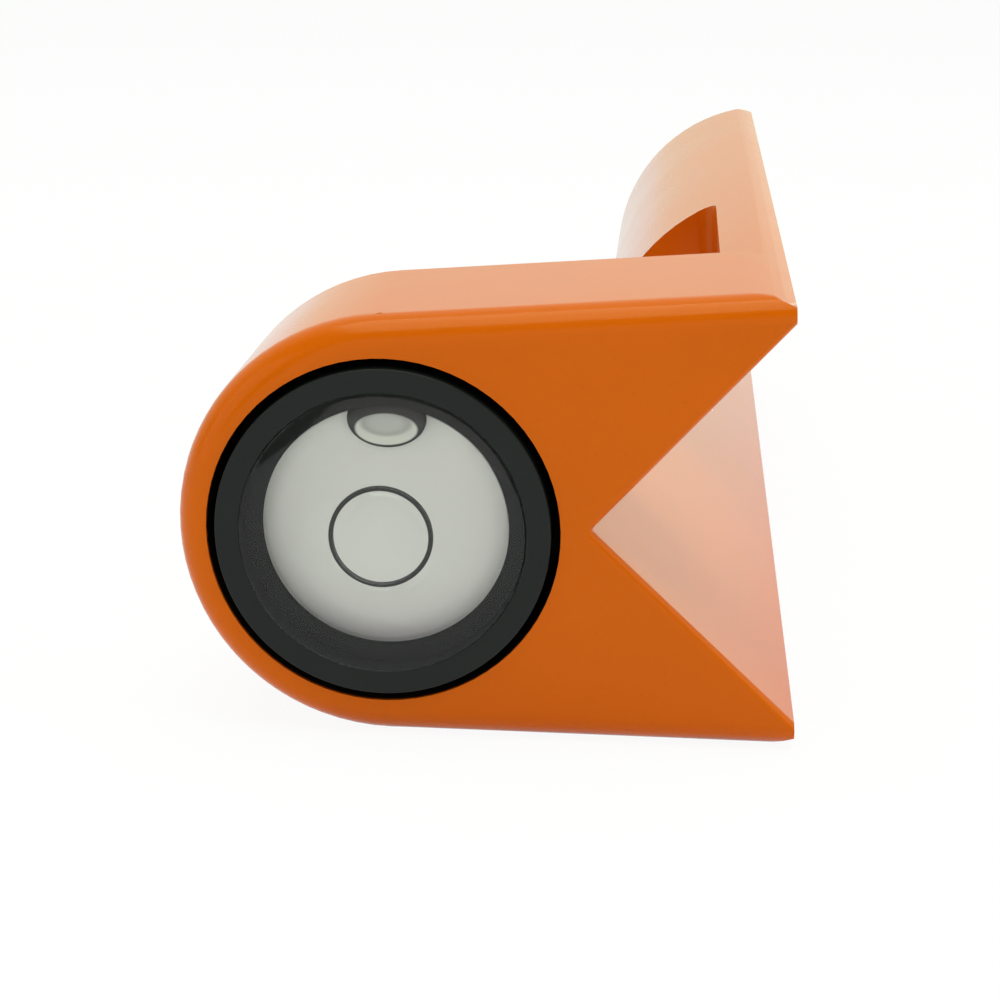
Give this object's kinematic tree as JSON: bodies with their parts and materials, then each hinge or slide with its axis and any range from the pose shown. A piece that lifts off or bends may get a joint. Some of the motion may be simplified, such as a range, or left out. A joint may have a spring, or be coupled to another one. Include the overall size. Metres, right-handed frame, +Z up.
{
  "type": "right angle bubble level",
  "caption": "Right angle rod level: a round-nosed head with a circular bubble vial on a long leg, with a V groove through both that seats on a pole.",
  "frame": {"origin": "under the middle of the whole level, on the surface that its flat side lies on", "axes": "+X from the round nose to the groove's mouth, +Y from the vial's face along the leg, +Z up"},
  "size_m": [0.0564, 0.1444, 0.0416],
  "materials": {
    "orange_enamel": "glossy orange enamel over a casting",
    "black_plastic": "satin black moulded plastic",
    "black_rubber": "matt black rubber",
    "clear_acrylic": "clear polished acrylic",
    "black_ink": "black filled line",
    "spirit": "clear liquid",
    "air": "air bubble in the liquid",
    "white_plastic": "white moulded plastic",
    "brass": "turned brass",
    "steel": "zinc plated steel"
  },
  "bodies": {
    "bracket": {"bracket": "orange_enamel", "seat_ring": "black_rubber", "screw_washers": "steel"},
    "vial": {"vial_cup": "black_plastic", "lens_seal": "black_rubber", "lens": "clear_acrylic", "sighting_ring": "black_ink", "reflector_disc": "white_plastic", "base_plug": "black_plastic", "plug_seal": "black_rubber", "fill_screw": "brass"},
    "spirit": {"spirit": "spirit"},
    "bubble": {"bubble": "air"},
    "screw_top": {"adjusting_screw_top": "steel"},
    "screw_left": {"adjusting_screw_left": "steel"},
    "screw_right": {"adjusting_screw_right": "steel"}
  },
  "joints": [
    {"name": "vial_tilt", "type": "hinge", "parent": "bracket", "child": "vial", "pos_m": [-0.00917, -0.05983, 0.01523], "axis": [0.9992, 0, 0.0409], "range_deg": [-0.75, 0.75]},
    {"name": "bubble_orbit", "type": "hinge", "parent": "vial", "child": "spirit", "pos_m": [-0.00934, -0.06732, 0.01948], "axis": [0, 1, 0], "continuous": true},
    {"name": "bubble_roll", "type": "hinge", "parent": "spirit", "child": "bubble", "pos_m": [-0.00934, 0.01783, 0.01948], "axis": [1, 0, 0], "range_deg": [0, 13.03]},
    {"name": "screw_top_turn", "type": "hinge", "parent": "bracket", "child": "screw_top", "pos_m": [-0.00969, -0.05582, 0.02797], "axis": [0, 1, 0], "range_deg": [-120, 120]},
    {"name": "screw_left_turn", "type": "hinge", "parent": "bracket", "child": "screw_left", "pos_m": [-0.01652, -0.05582, 0.01493], "axis": [0, 1, 0], "range_deg": [-120, 120]},
    {"name": "screw_right_turn", "type": "hinge", "parent": "bracket", "child": "screw_right", "pos_m": [-0.00181, -0.05582, 0.01553], "axis": [0, 1, 0], "range_deg": [-120, 120]}
  ],
  "couplings": [
    {"joint": "vial_tilt", "follows": "screw_top_turn", "ratio": 0.0062414}
  ]
}
